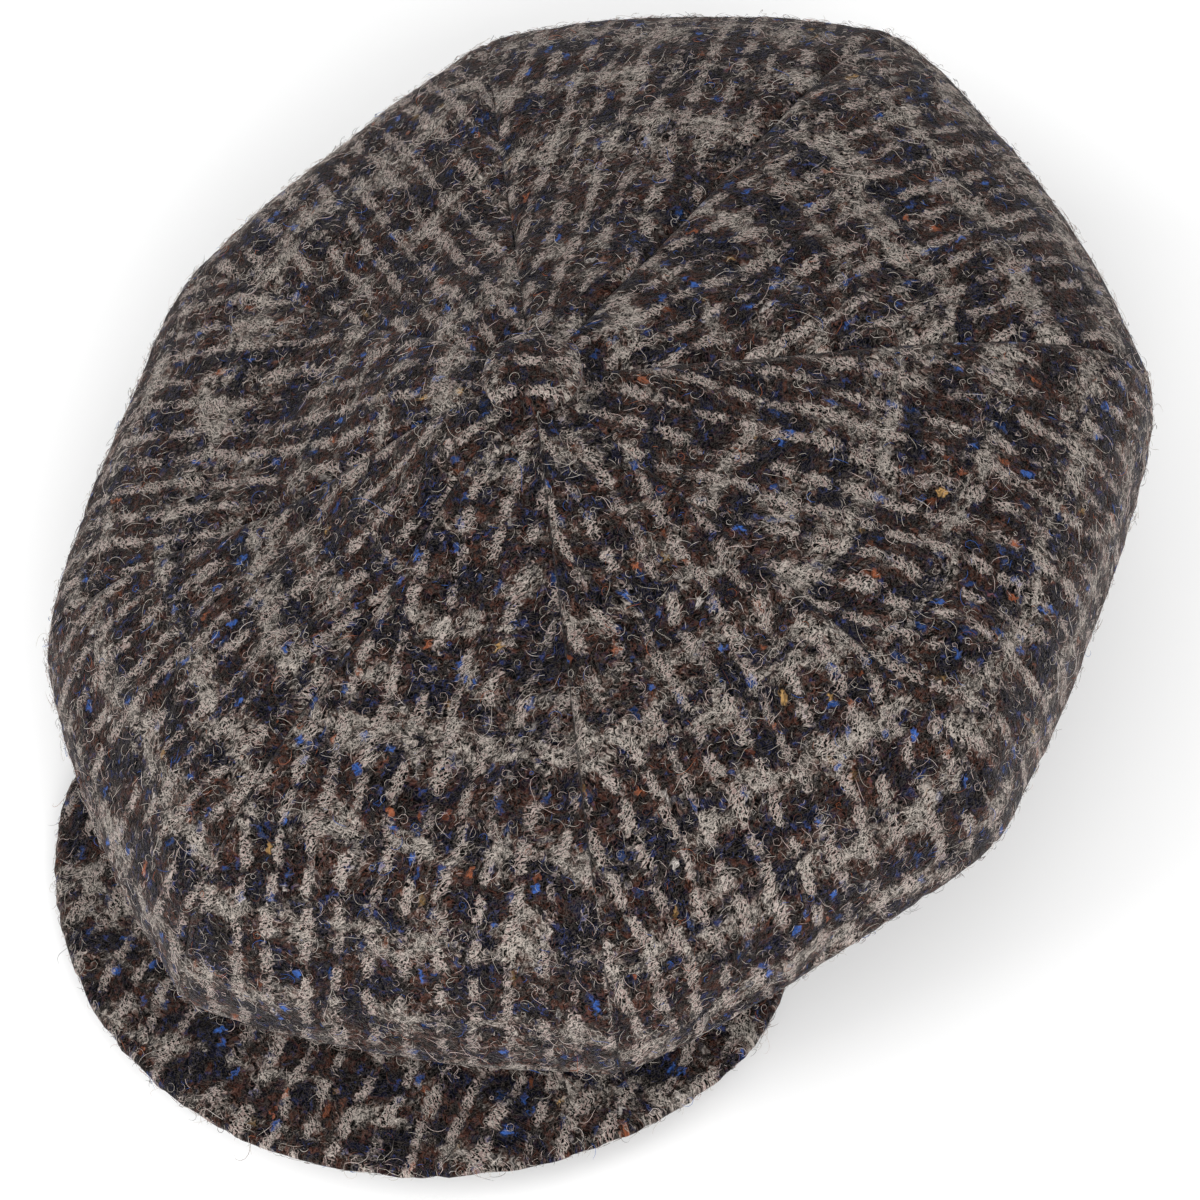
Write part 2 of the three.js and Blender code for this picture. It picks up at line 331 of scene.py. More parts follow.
def panel_relief(panel, across, share, pattern):
    """Height of the seams' valleys, the puckers beside them and the cloth's soft unevenness."""
    sizes = bpy.context.scene.cap_sizes
    width = pattern.width(share)
    length = pattern.length(share)
    edge = np.minimum(across, 1 - across) * width
    valley = sizes.seam_depth / MM * np.exp(-((edge / (sizes.seam_width / MM)) ** 2))
    seam = panel + (across >= 0.5)
    line = on_plane(length, seam * PUCKERS["next_seam"])
    pucker = noise_at(line, PUCKERS["seed"], sizes.pucker_length / MM)
    pucker = pucker * sizes.pucker_height / MM * np.exp(-((edge / PUCKERS["reach"]) ** 2))
    cloth = on_plane((across - 0.5) * width + panel * RELIEF_STRIDE, length)
    inside = smooth_step(edge, *RELIEF_FADE["seam"])
    waves = noise_at(cloth, WAVES["seed"], WAVES["size"]) * sizes.cloth_waves / MM * inside
    fine = noise_at(cloth, FINE_WAVES["seed"], FINE_WAVES["size"]) * FINE_WAVES["height"] * inside
    lumps = noise_at(cloth, LUMPS["seed"], LUMPS["size"]) * sizes.yarn_lumps / MM
    lumps = lumps * smooth_step(edge, *LUMPS["fade"])
    kept = smooth_step(length, *RELIEF_FADE["tip"])
    kept = kept * (1 - smooth_step(share, *RELIEF_FADE["hem"]))
    return (pucker + waves + fine + lumps - valley) * kept


def cloth_point(panel, across, share, pattern):
    """The cloth's outer face with its relief."""
    relief = panel_relief(panel, across, share, pattern)
    return crown_point(panel, across, share) + outward(panel, across, share) * relief[:, None]


def panel_cloth(panel, across, share, pattern):
    """Cloth map of a panel. Each panel has its own stretch of cloth."""
    aside = (across - 0.5) * pattern.width(share) + panel * PANEL_STRIDE
    return drifted(np.stack([aside, pattern.length(share) + CUT_SHIFTS[panel]], axis=-1))


def grid_mesh(name, columns, rows, place):
    """A mesh from one grid. place gives its points and its cloth map, in millimetres."""
    shape = bmesh.new()
    shape.loops.layers.uv.new(CLOTH_MAP)
    centre = Matrix.Translation((0.5, 0.5, 0.0))
    bmesh.ops.create_grid(
        shape, x_segments=columns, y_segments=rows, size=0.5, matrix=centre, calc_uvs=True
    )
    mesh = bpy.data.meshes.new(name)
    shape.to_mesh(mesh)
    shape.free()
    move_mesh(mesh, place)
    return mesh


def move_mesh(mesh, place):
    """Moves a mesh's points, and lays its cloth map, to where place(x, y) says."""
    grid = np.empty(len(mesh.vertices) * 3, np.float32)
    mesh.vertices.foreach_get("co", grid)
    grid = grid.reshape(-1, 3).astype(float)
    points, cloth = place(grid[:, 0], grid[:, 1])
    mesh.vertices.foreach_set("co", ((points + MIDDLE) * MM).astype(np.float32).ravel())
    corners = np.empty(len(mesh.loops), np.int32)
    mesh.loops.foreach_get("vertex_index", corners)
    mesh.uv_layers[CLOTH_MAP].data.foreach_set("uv", cloth[corners].astype(np.float32).ravel())
    mesh.update()


def finish_piece(name, mesh, material, slot, *nodes):
    """Makes the object, gives it its finish and hides the CAD nodes it stands for."""
    piece = bpy.data.objects.new(name, mesh)
    bpy.context.scene.collection.objects.link(piece)
    if material is not None:
        mesh.materials.append(material)
    mesh.polygons.foreach_set("use_smooth", np.ones(len(mesh.polygons), bool))
    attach(piece, "root")
    if nodes:
        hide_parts(*nodes)
    return piece


def add_wall(piece, thickness):
    """Gives a sheet its thickness, on the inside of its face."""
    wall = piece.modifiers.new("Cloth thickness", "SOLIDIFY")
    wall.thickness = thickness
    wall.offset = -1
    wall.use_rim = True


def build_panel(panel):
    pattern = PanelPattern(panel)

    def place(column, row):
        share = pattern.share_at(1 - row)
        width = pattern.width(share)
        across = column_place(column, width)
        points = cloth_point(panel, across, share, pattern)
        return points, panel_cloth(panel, across, share, pattern)

    name = f"crown_panel_{panel + 1}"
    mesh = grid_mesh(name, PANEL_COLUMNS, PANEL_ROWS, place)
    piece = finish_piece(name, mesh, tweed_material(), "crown_cloth", f"panel_{panel + 1}")
    add_wall(piece, bpy.context.scene.cap_sizes.cloth_wall)
    return piece


# Shape of the peak


def peak_inner_edge(side):
    margin = BAND["wall"] + HEM["gap"]
    length = OPENING["half_length"] + margin
    turn = side * math.acos((OPENING["centre_y"] - PEAK["end_y"]) / length)
    across = (OPENING["half_width"] + margin) * np.sin(turn)
    return np.stack([across, OPENING["centre_y"] - length * np.cos(turn)], axis=-1)


def peak_outer_edge(side):
    reach = np.abs(side)
    turn = np.minimum(reach / PEAK["front_share"], 1.0) * math.pi / 2
    forward = PEAK["depth"] * np.cos(turn) ** PEAK["front_flatness"]
    front = np.stack([PEAK["half_width"] * np.sin(turn), PEAK["centre_y"] - forward], axis=-1)
    end = peak_inner_edge(np.array([1.0]))[0] + np.array([1, 2]) * PEAK["end_width"]
    start = np.array([PEAK["half_width"], PEAK["centre_y"]])
    bend = np.array([PEAK["half_width"], mix(PEAK["centre_y"], end[1], PEAK["side_fullness"])])
    share = np.clip((reach - PEAK["front_share"]) / (1 - PEAK["front_share"]), 0, 1)[:, None]
    back = (1 - share) ** 2 * start + 2 * share * (1 - share) * bend + share**2 * end
    edge = np.where((reach <= PEAK["front_share"])[:, None], front, back)
    edge[:, 0] *= np.where(side < 0, -1, 1)
    return edge


def peak_point(side, around):
    """A point of the peak. around runs along its top, round its edge and back below it."""
    inner = peak_inner_edge(side)
    outer = peak_outer_edge(side)
    half = PEAK["thickness"] / 2
    length = np.linalg.norm(outer - inner, axis=1)
    flat = np.maximum(length - half, half / 4)
    top_end, edge_end, below_end = PEAK_TURNS.values()
    turn = np.clip((around - top_end) / (edge_end - top_end), 0, 1) * math.pi
    distance = np.where(
        around <= top_end, flat * around / top_end,
        np.where(around <= edge_end, flat + (length - flat) * np.sin(turn),
                 flat * np.clip((below_end - around) / (below_end - edge_end), 0, 1)),
    )
    back = np.clip((around - below_end) / (1 - below_end), 0, 1)
    lift = half * np.cos(turn) + 2 * half * back
    plan = mix(inner, outer, (distance / length)[:, None])
    forward = np.maximum((PEAK["centre_y"] - plan[:, 1]) / PEAK["depth"], 0)
    height = PEAK["mid_height"] - PEAK["side_drop"] * (plan[:, 0] / PEAK["half_width"]) ** 2
    height = height - PEAK["front_drop"] * forward
    return np.concatenate([plan, (height + lift)[:, None]], axis=1)


def build_peak():
    sizes = bpy.context.scene.cap_sizes

    def place(column, row):
        side = mix(-1.0, 1.0, row)
        points = peak_point(side, column)
        uneven = noise_at(points, BOARD_WAVES["seed"], BOARD_WAVES["size"]) * BOARD_WAVES["height"]
        uneven = uneven * smooth_step(column, *BOARD_WAVES["fade"])
        points[:, 2] += uneven * (column < PEAK_TURNS["edge"])
        at_edge = smooth_step(column, *FRAY["from"]) * (1 - smooth_step(column, *FRAY["to"]))
        outwards = unit(points[:, :2] - np.array([0.0, FRAY_CENTRE]))
        frayed = noise_at(points, FRAY["seed"], FRAY["size"]) * FRAY["height"]
        frayed = frayed * sizes.yarn_lumps / MM * at_edge
        points[:, :2] += outwards * frayed[:, None]
        return points, drifted(points[:, :2] + np.array(PEAK_CLOTH))

    mesh = grid_mesh("peak_cover", PEAK_AROUND, PEAK_ALONG, place)
    shape = bmesh.new()
    shape.from_mesh(mesh)
    bmesh.ops.remove_doubles(shape, verts=shape.verts[:], dist=WELD)
    bmesh.ops.holes_fill(shape, edges=shape.edges[:], sides=0)
    bmesh.ops.recalc_face_normals(shape, faces=shape.faces[:])
    shape.to_mesh(mesh)
    shape.free()
    return finish_piece("peak_cover", mesh, tweed_material(), "peak_cloth", "peak")


def build_button():
    seat = TIP["height"] + HEM["gap"]
    profile = [(0.0, seat), (BUTTON["foot_radius"], seat)]
    for step in range(BUTTON["steps"]):
        turn = step / BUTTON["steps"] * math.pi / 2
        radius = BUTTON["radius"] * math.cos(turn) ** BUTTON["dome_fullness"]
        height = seat + BUTTON["edge_height"] + BUTTON["dome_height"] * math.sin(turn)
        profile.append((radius, height))
    profile.append((0.0, seat + BUTTON["edge_height"] + BUTTON["dome_height"]))
    shape = bmesh.new()
    points = [shape.verts.new((radius * MM, 0.0, height * MM)) for radius, height in profile]
    line = [shape.edges.new(pair) for pair in zip(points, points[1:])]
    bmesh.ops.spin(
        shape, geom=points + line, axis=(0, 0, 1), cent=(0, 0, 0), angle=2 * math.pi,
        steps=BUTTON["sides"], use_merge=True, use_duplicate=False,
    )
    bmesh.ops.remove_doubles(shape, verts=shape.verts[:], dist=WELD)
    bmesh.ops.recalc_face_normals(shape, faces=shape.faces[:])
    bmesh.ops.translate(shape, verts=shape.verts[:], vec=Vector(MIDDLE) * MM)
    cloth = shape.loops.layers.uv.new(CLOTH_MAP)
    for face in shape.faces:
        for corner in face.loops:
            place = (corner.vert.co - Vector(MIDDLE) * MM) / MM
            corner[cloth].uv = Vector(BUTTON_CLOTH) + Vector((
                place.y * math.cos(BUTTON_GRAIN) - place.x * math.sin(BUTTON_GRAIN),
                place.x * math.cos(BUTTON_GRAIN) + place.y * math.sin(BUTTON_GRAIN),
            ))
    mesh = bpy.data.meshes.new("crown_button")
    shape.to_mesh(mesh)
    shape.free()
    return finish_piece("crown_button", mesh, tweed_material(), "button_cloth", "button")


def build_band():
    shape = bmesh.new()
    ring = bmesh.ops.create_circle(
        shape, cap_ends=False, segments=BAND["sides"], radius=1.0, matrix=Matrix.Identity(4)
    )
    outer = Vector((OPENING["half_width"] + BAND["wall"], OPENING["half_length"] + BAND["wall"], 1))
    bmesh.ops.scale(shape, vec=outer * MM, verts=ring["verts"])
    lifts = bmesh.ops.extrude_edge_only(shape, edges=shape.edges[:])
    top = [item for item in lifts["geom"] if isinstance(item, bmesh.types.BMVert)]
    bmesh.ops.translate(shape, verts=top, vec=(0, 0, BAND["height"] * MM))
    bmesh.ops.recalc_face_normals(shape, faces=shape.faces[:])
    if shape.faces[0].normal.dot(shape.faces[0].calc_center_median()) < 0:
        bmesh.ops.reverse_faces(shape, faces=shape.faces[:])
    bmesh.ops.solidify(shape, geom=shape.faces[:], thickness=BAND["wall"] * MM)
    centre = Vector((MIDDLE[0], MIDDLE[1] + OPENING["centre_y"], 0)) * MM
    bmesh.ops.translate(shape, verts=shape.verts[:], vec=centre)
    corners = [edge for edge in shape.edges if edge.calc_face_angle(0) > SHARP_CORNER]
    bmesh.ops.bevel(
        shape, geom=corners, offset=BAND["round"] * MM, segments=BAND["round_steps"],
        affect="EDGES", profile=0.5, material=-1,
    )
    cloth = shape.loops.layers.uv.new(CLOTH_MAP)
    radius = (OPENING["half_width"] + OPENING["half_length"]) / 2
    for face in shape.faces:
        middle = face.calc_center_median() - centre
        turn = math.atan2(middle.y, middle.x)
        for corner in face.loops:
            place = corner.vert.co - centre
            ahead = math.remainder(math.atan2(place.y, place.x) - turn, 2 * math.pi)
            corner[cloth].uv = ((turn + ahead) * radius + BAND_CLOTH[0], place.z / MM)
    mesh = bpy.data.meshes.new("head_band")
    shape.to_mesh(mesh)
    shape.free()
    return finish_piece("head_band", mesh, tweed_material(), "band_cloth", "headband")


# Cloth


class Value:
    """A node's output. Arithmetic on it adds Math nodes."""

    def __init__(self, shader, socket):
        self.shader = shader
        self.socket = socket

    def math(self, operation, *values):
        inputs = dict(enumerate((self, *values)))
        return self.shader.node("ShaderNodeMath", {"operation": operation}, inputs)

    def reflected(self, operation, value):
        inputs = {0: value, 1: self}
        return self.shader.node("ShaderNodeMath", {"operation": operation}, inputs)

    def __add__(self, value):
        return self.math("ADD", value)

    def __radd__(self, value):
        return self.reflected("ADD", value)

    def __sub__(self, value):
        return self.math("SUBTRACT", value)

    def __rsub__(self, value):
        return self.reflected("SUBTRACT", value)

    def __mul__(self, value):
        return self.math("MULTIPLY", value)

    def __rmul__(self, value):
        return self.reflected("MULTIPLY", value)

    def __truediv__(self, value):
        return self.math("DIVIDE", value)


class Shader:
    """One material and its nodes."""

    def __init__(self, name):
        self.material = bpy.data.materials.new(name)
        self.material.use_nodes = True
        self.tree = self.material.node_tree
        self.tree.nodes.clear()

    def node(self, kind, settings=None, inputs=None, output=0):
        """Adds a node: its settings first, then its sockets' values or links."""
        made = self.tree.nodes.new(kind)
        for name, value in (settings or {}).items():
            if name == "stops":
                self.set_stops(made.color_ramp, value)
            elif name == "interpolation":
                made.color_ramp.interpolation = value
            else:
                setattr(made, name, value)
        for name, value in (inputs or {}).items():
            if isinstance(value, Value):
                self.tree.links.new(value.socket, made.inputs[name])
            else:
                made.inputs[name].default_value = value
        return Value(self, made.outputs[output]) if len(made.outputs) else None

    @staticmethod
    def set_stops(ramp, stops):
        while len(ramp.elements) < len(stops):
            ramp.elements.new(1.0)
        for element, (position, colour) in zip(ramp.elements, stops):
            element.position = position
            element.color = colour

    def blend(self, share, first, second):
        """Colour between two colours."""
        inputs = {0: share, 6: first, 7: second}
        return self.node("ShaderNodeMix", {"data_type": "RGBA"}, inputs, 2)

    def parts(self, whole, *outputs, kind="ShaderNodeSeparateXYZ"):
        """Parts of a vector or a colour."""
        made = self.node(kind, None, {0: whole})
        return [Value(self, made.socket.node.outputs[output]) for output in outputs]

    def noise(self, place, scale=1.0, detail=2.0, roughness=0.5, output=0):
        inputs = {"Vector": place, "Scale": scale, "Detail": detail, "Roughness": roughness}
        return self.node("ShaderNodeTexNoise", None, inputs, output)

    def surface(self, inputs):
        shader = self.node("ShaderNodeBsdfPrincipled", None, inputs)
        self.node("ShaderNodeOutputMaterial", None, {"Surface": shader})
        return self.material


def fade(value, low, high):
    """0 below low and 1 above high, smooth between. High may be the lower one."""
    settings = {"interpolation_type": "SMOOTHSTEP"}
    inputs = {0: value, 1: low, 2: high, 3: 0.0, 4: 1.0}
    return value.shader.node("ShaderNodeMapRange", settings, inputs)


def repeat(value, pitch, shift=0.0):
    """Number of the repeat that a length lies in, and the place in it from 0 to 1."""
    count = value / pitch + shift
    return count.math("FLOOR"), count.math("FRACT")


def from_middle(part):
    """0 in the middle of a repeat and 1 at its ends."""
    return (part - 0.5).math("ABSOLUTE") * 2


def scaled(shader, place, across, along):
    inputs = {0: place, 1: (across, along, 1.0)}
    return shader.node("ShaderNodeVectorMath", {"operation": "MULTIPLY"}, inputs)


def brightened(colour, share):
    inputs = {0: colour, 3: share}
    return colour.shader.node("ShaderNodeVectorMath", {"operation": "SCALE"}, inputs)


# Light cross bars, as places along a panel from its tip and their lightness, in a repeat of cloth
BARS_LENGTH = 260.0
BARS = [
    (0, 0.2), (12, 0.15), (16, 0.75), (24, 0.95), (29, 0.2), (34, 0.05), (39, 0.7), (43, 0.2),
    (46, 0.0), (50, 0.65), (56, 0.05), (62, 0.85), (66, 0.3), (70, 0.1), (76, 0.55), (82, 0.4),
    (88, 0.75), (94, 1.0), (99, 0.45), (104, 0.05), (109, 0.35), (117, 1.0), (121, 0.4),
    (126, 0.0), (133, 0.6), (138, 1.0), (146, 0.2), (152, 0.05), (160, 0.9), (170, 0.1),
    (180, 0.8), (200, 0.1),
]
WARP_PITCH = 8.2
FLOAT_PITCH = 9.4
TWIST_PITCH = 1.4
WOOL_GLOSS = 0.05

# Weave. Pull is how far the jitter pulls the cloth map, and pairs of numbers are where a mask
# starts and ends. A light yarn's strength changes from float to float
WEAVE = {
    "pull": (2.8, 3.4, 0.0), "next_pair": 0.37, "yarn": (0.14, 0.6), "float": (0.4, 1.0),
    "sunk": 0.4, "weak": 0.46, "strong": 0.74, "bar_patch": (0.34, 0.62), "weak_bar": 0.5,
    "bar_gain": 0.6, "bar_between": 0.66, "ragged": 1.8, "uneven": 1.7, "light": (0.3, 0.92),
}

# Noises of the wool: scales across and along the cloth, in waves a millimetre
JITTER_SCALE = (0.75, 0.75)
PATCH_SCALE = (0.2, 0.3)
TINT_SCALE = (0.08, 0.11)
WOOL_SCALE = (1.15, 0.75)
CURL_SCALES = (0.55, 1.0, 1.7)
NEP_SCALE = (0.36, 0.22)
BUMP_SCALE = (1.1, 0.9)
SLANT = 0.8
SLANT_LENGTH = 0.32
BUMP = {"strength": 0.8, "distance": 0.0012}
SHEEN = {"Sheen Weight": 0.2, "Sheen Roughness": 0.25, "Sheen Tint": (0.84, 0.79, 0.79, 1.0)}

# Painted fibre shade and highlight: the lightness in the shaded gaps between the fibres, how much
# lighter the lit strands are, and what moves their mask
FIBRE_SHADE_AND_HIGHLIGHT = {"least": 0.005, "gain": 0.68, "wool": 0.8, "twist": 0.3, "mask": (0.36, 0.74)}

# Where each ground colour shows, and how much the other noises move its mask
GROUND = {
    "cream": (-0.2, 0.5), "heather": 0.5, "brown": (0.37, 0.53), "brown_patch": 0.5,
    "brown_wool": 0.3, "black": (0.4, 0.68), "black_curls": 0.6, "blue": (0.6, 0.76),
    "blue_fibre": 0.5, "blue_on_brown": 0.8,
}

# Neps: each colour and where its range starts, from 0 to 1. Then their size, the share of the
# places that have one, and their lightness
NEP_COLOURS = [("blue_nep", 0.0), ("rust_nep", 0.66), ("cream_nep", 0.86), ("ochre_nep", 0.95)]
NEPS = {
    "ragged": 0.6, "size": (0.12, 0.44), "share": (0.78, 0.8), "least": 0.12, "gain": 0.6,
    "fibres": (0.35, 0.65), "dull": 0.4, "bright": 0.9, "under_light": 0.5,
}

# Hairs drawn on the cloth: half widths of the lines, where they show, and how strongly
HAIR_LINES = {
    "long": 0.07, "short": 0.1, "tiny": 0.14, "long_shows": (0.4, 0.5), "tiny_shows": (0.45, 0.55),
    "on_dark": 0.2, "on_light": 0.5, "least_light": 0.25, "light_gain": 0.75,
}


def light_yarns(shader, across, along):
    """Pairs of light yarns along the panel, that float over the dark weft in stretches."""
    pair, in_pair = repeat(across, WARP_PITCH)
    turn, in_float = repeat(along, FLOAT_PITCH, pair * WEAVE["next_pair"])
    stretch = shader.node("ShaderNodeCombineXYZ", None, {0: pair, 1: turn})
    strength = shader.node("ShaderNodeTexWhiteNoise", {"noise_dimensions": "2D"}, {0: stretch})
    yarn = 1 - fade(from_middle(in_pair), *WEAVE["yarn"])
    floating = 1 - fade(from_middle(in_float), *WEAVE["float"])
    warp = yarn * (WEAVE["sunk"] + (1 - WEAVE["sunk"]) * floating)
    return yarn, warp * (WEAVE["weak"] + WEAVE["strong"] * strength), strength


def cross_bars(shader, along, patch):
    """Light cross bars, stronger in some patches of the cloth."""
    stops = [(spot / BARS_LENGTH, (tone, tone, tone, 1)) for spot, tone in BARS]
    place = (along / BARS_LENGTH).math("FRACT")
    tones = shader.node("ShaderNodeValToRGB", {"stops": stops}, {0: place})
    bar = shader.parts(tones, 0, kind="ShaderNodeSeparateColor")[0]
    return bar * (WEAVE["weak_bar"] + WEAVE["bar_gain"] * fade(patch, *WEAVE["bar_patch"]))


def drawn_hairs(curls, small_curls, tiny_curls):
    """Thin curly lines, where three noises cross their middle."""
    long_lines = 1 - fade(from_middle(curls), 0.0, HAIR_LINES["long"])
    short_lines = 1 - fade(from_middle(small_curls), 0.0, HAIR_LINES["short"])
    tiny_lines = 1 - fade(from_middle(tiny_curls), 0.0, HAIR_LINES["tiny"])
    hair = long_lines * fade(small_curls, *HAIR_LINES["long_shows"])
    hair = hair.math("MAXIMUM", short_lines)
    return hair.math("MAXIMUM", tiny_lines * fade(curls, *HAIR_LINES["tiny_shows"]))


def neps(shader, place, fibre):
    """Small flecks of dyed wool: where they are, and their colour."""
    colours = bpy.context.scene.cap_colours
    inputs = {"Vector": scaled(shader, place, *NEP_SCALE), "Scale": 1.0, "Randomness": 1.0}
    distance = shader.node("ShaderNodeTexVoronoi", None, inputs)
    chance = Value(shader, distance.socket.node.outputs["Color"])
    red, green, own = shader.parts(chance, 0, 1, 2, kind="ShaderNodeSeparateColor")
    stops = [(start, tuple(getattr(colours, name))) for name, start in NEP_COLOURS]
    settings = {"stops": stops, "interpolation": "CONSTANT"}
    colour = shader.node("ShaderNodeValToRGB", settings, {0: green})
    mask = 1 - fade(distance - (fibre - 0.5) * NEPS["ragged"], *NEPS["size"])
    # Each nep is dull or bright at random, and darker or lighter along the fibre noise: painted
    # shade between its fibres and painted highlights on them
    lightness = NEPS["least"] + NEPS["gain"] * fade(fibre, *NEPS["fibres"])
    colour = brightened(colour, lightness * (NEPS["dull"] + NEPS["bright"] * own))
    return mask * fade(red, *NEPS["share"]), colour


def tweed_material():
    """Heavy tweed on the cloth map: light yarns, cross bars, dark blocks, neps and drawn hairs."""
    name = "tweed_cloth"
    if name in bpy.data.materials:
        return bpy.data.materials[name]
    colours = bpy.context.scene.cap_colours
    shader = Shader(name)
    flat = shader.node("ShaderNodeUVMap", {"uv_map": CLOTH_MAP})
    jitter = shader.noise(scaled(shader, flat, *JITTER_SCALE), detail=1.0, output=1)
    inputs = {0: jitter, 1: WEAVE["pull"], 2: flat}
    place = shader.node("ShaderNodeVectorMath", {"operation": "MULTIPLY_ADD"}, inputs)
    across, along = shader.parts(place, 0, 1)

    patch = shader.noise(scaled(shader, flat, *PATCH_SCALE), detail=1.0)
    tint = shader.noise(scaled(shader, flat, *TINT_SCALE), detail=1.0)
    yarn, warp, strength = light_yarns(shader, across, along)
    bar = cross_bars(shader, along, patch)

    # Wool: ragged edges of the yarns, their slanting fibres and twist, and the curls over them
    wool = shader.noise(scaled(shader, place, *WOOL_SCALE), detail=3.0, roughness=0.75)
    beside = across + along * SLANT
    ahead = (along - across * SLANT) * SLANT_LENGTH
    slant = shader.node("ShaderNodeCombineXYZ", None, {0: beside, 1: ahead})
    fibre = shader.noise(slant, roughness=0.7)
    # Diagonal marks of the twist, drawn as painted highlight and shade along the light yarns
    twist = ((across + along) * (math.tau / TWIST_PITCH)).math("SINE")
    curls, small_curls, tiny_curls = (
        shader.noise(scaled(shader, base, scale, scale), detail=0.0)
        for base, scale in zip((place, flat, flat), CURL_SCALES)
    )

    weave = warp.math("MAXIMUM", bar * (WEAVE["bar_between"] + (1 - WEAVE["bar_between"]) * yarn))
    weave = weave + (wool - 0.5) * WEAVE["ragged"] + (tint - 0.5) * WEAVE["uneven"]
    light = fade(weave, *WEAVE["light"])
    # Lightness of the fibres: partly their own uneven tone, partly painted shade in the gaps
    # between them and painted highlights on the strands and the twist
    depth = fibre + (wool - 0.5) * FIBRE_SHADE_AND_HIGHLIGHT["wool"] + FIBRE_SHADE_AND_HIGHLIGHT["twist"] * twist * warp
    depth = FIBRE_SHADE_AND_HIGHLIGHT["least"] + FIBRE_SHADE_AND_HIGHLIGHT["gain"] * fade(depth, *FIBRE_SHADE_AND_HIGHLIGHT["mask"])

    taupe, brown, cream = (
        tuple(getattr(colours, name)) for name in ("taupe_yarn", "brown_yarn", "cream_weft")
    )
    heather = shader.blend(GROUND["heather"] * strength, taupe, brown)
    creamy = fade(bar - warp + (patch - 0.5), *GROUND["cream"])
    light_colour = shader.blend(creamy, heather, cream)

    browned = tint + (patch - 0.5) * GROUND["brown_patch"] + (wool - 0.5) * GROUND["brown_wool"]
    browned = fade(browned, *GROUND["brown"])
    blackened = fade(patch + (curls - 0.5) * GROUND["black_curls"], *GROUND["black"])
    blued = fade(curls + (fibre - 0.5) * GROUND["blue_fibre"], *GROUND["blue"])
    blued = blued * (1 - GROUND["blue_on_brown"] * browned)
    dark_colour = shader.blend(browned, tuple(colours.navy_yarn), brown)
    dark_colour = shader.blend(blackened, dark_colour, tuple(colours.dark_yarn))
    dark_colour = shader.blend(blued, dark_colour, tuple(colours.blue_fleck))
    # The ground colours are multiplied by the painted fibre shade and highlight
    colour = brightened(shader.blend(light, dark_colour, light_colour), depth)

    nep, nep_colour = neps(shader, place, fibre)
    colour = shader.blend(nep * (1 - NEPS["under_light"] * light), colour, nep_colour)

    hair = drawn_hairs(curls, small_curls, tiny_curls)
    lit = HAIR_LINES["least_light"] + HAIR_LINES["light_gain"] * light
    hair_colour = shader.blend(lit, tuple(colours.grey_hair), tuple(colours.loose_hair))
    hair = hair * (HAIR_LINES["on_dark"] + HAIR_LINES["on_light"] * light)
    colour = shader.blend(hair, colour, hair_colour)

    height = shader.noise(scaled(shader, flat, *BUMP_SCALE), detail=3.0, roughness=0.7)
    inputs = {"Strength": BUMP["strength"], "Distance": BUMP["distance"], "Height": height}
    return shader.surface({
        "Base Color": colour, "Roughness": 1.0, "Specular IOR Level": WOOL_GLOSS,
        "Normal": shader.node("ShaderNodeBump", None, inputs), **SHEEN,
    })


# How light the cloth is under a hair: where floats and yarns start and end, and how light sunk
# yarns and cross bars are
TONE = {"float": (0.45, 0.95), "yarn": (0.1, 0.54), "sunk": 0.45, "bar": 0.85}

# Loose hairs: the colour's name, and its share of the hairs on dark and on light cloth
HAIR_FINISHES = [
    ("taupe_yarn", 0.06, 0.3), ("loose_hair", 0.18, 0.34), ("cream_nep", 0.03, 0.12),
    ("grey_hair", 0.25, 0.12), ("brown_yarn", 0.17, 0.07), ("dark_yarn", 0.25, 0.04),
    ("blue_nep", 0.04, 0.005), ("rust_nep", 0.02, 0.005),
]
HAIR_SIDES = 3
HAIR_END = 0.01
HAIR_ROUGHNESS = 0.8

# How hairs differ: spread of their length, change of bend, shape and scale of their lift, range of
# their thickness, where a hair comes down again, and how deep its root lies
HAIR_SPREAD = {
    "length": 0.35, "bend_change": 0.12, "lift": (1.6, 0.6), "thickness": (0.75, 1.25),
    "free_end": (0.35, 1.0), "root": 0.12, "rise": 0.8, "taper": 0.5,
}


def hair_materials():
    """One plain finish for each colour of hair. A hair is a tenth of a millimetre thick."""
    colours = bpy.context.scene.cap_colours
    finishes = []
    for colour, _, _ in HAIR_FINISHES:
        name = f"wool_hair_{colour}"
        if name not in bpy.data.materials:
            Shader(name).surface({
                "Base Color": tuple(getattr(colours, colour)), "Roughness": HAIR_ROUGHNESS,
                "Specular IOR Level": WOOL_GLOSS,
            })
        finishes.append(bpy.data.materials[name])
    return finishes


def cloth_tone(cloth):
    """How light the weave is at places on the cloth map, without its ragged edges."""
    pair = cloth[:, 0] / WARP_PITCH
    off_pair = np.abs(pair % 1 - 0.5) * 2
    in_float = (cloth[:, 1] / FLOAT_PITCH + np.floor(pair) * WEAVE["next_pair"]) % 1
    floating = 1 - smooth_step(np.abs(in_float - 0.5) * 2, *TONE["float"])
    yarn = 1 - smooth_step(off_pair, *TONE["yarn"])
    warp = yarn * (TONE["sunk"] + (1 - TONE["sunk"]) * floating)
    spots, tones = np.array(BARS).T
    bar = np.interp(cloth[:, 1] % BARS_LENGTH, spots, tones)
    return np.maximum(warp, bar * TONE["bar"])


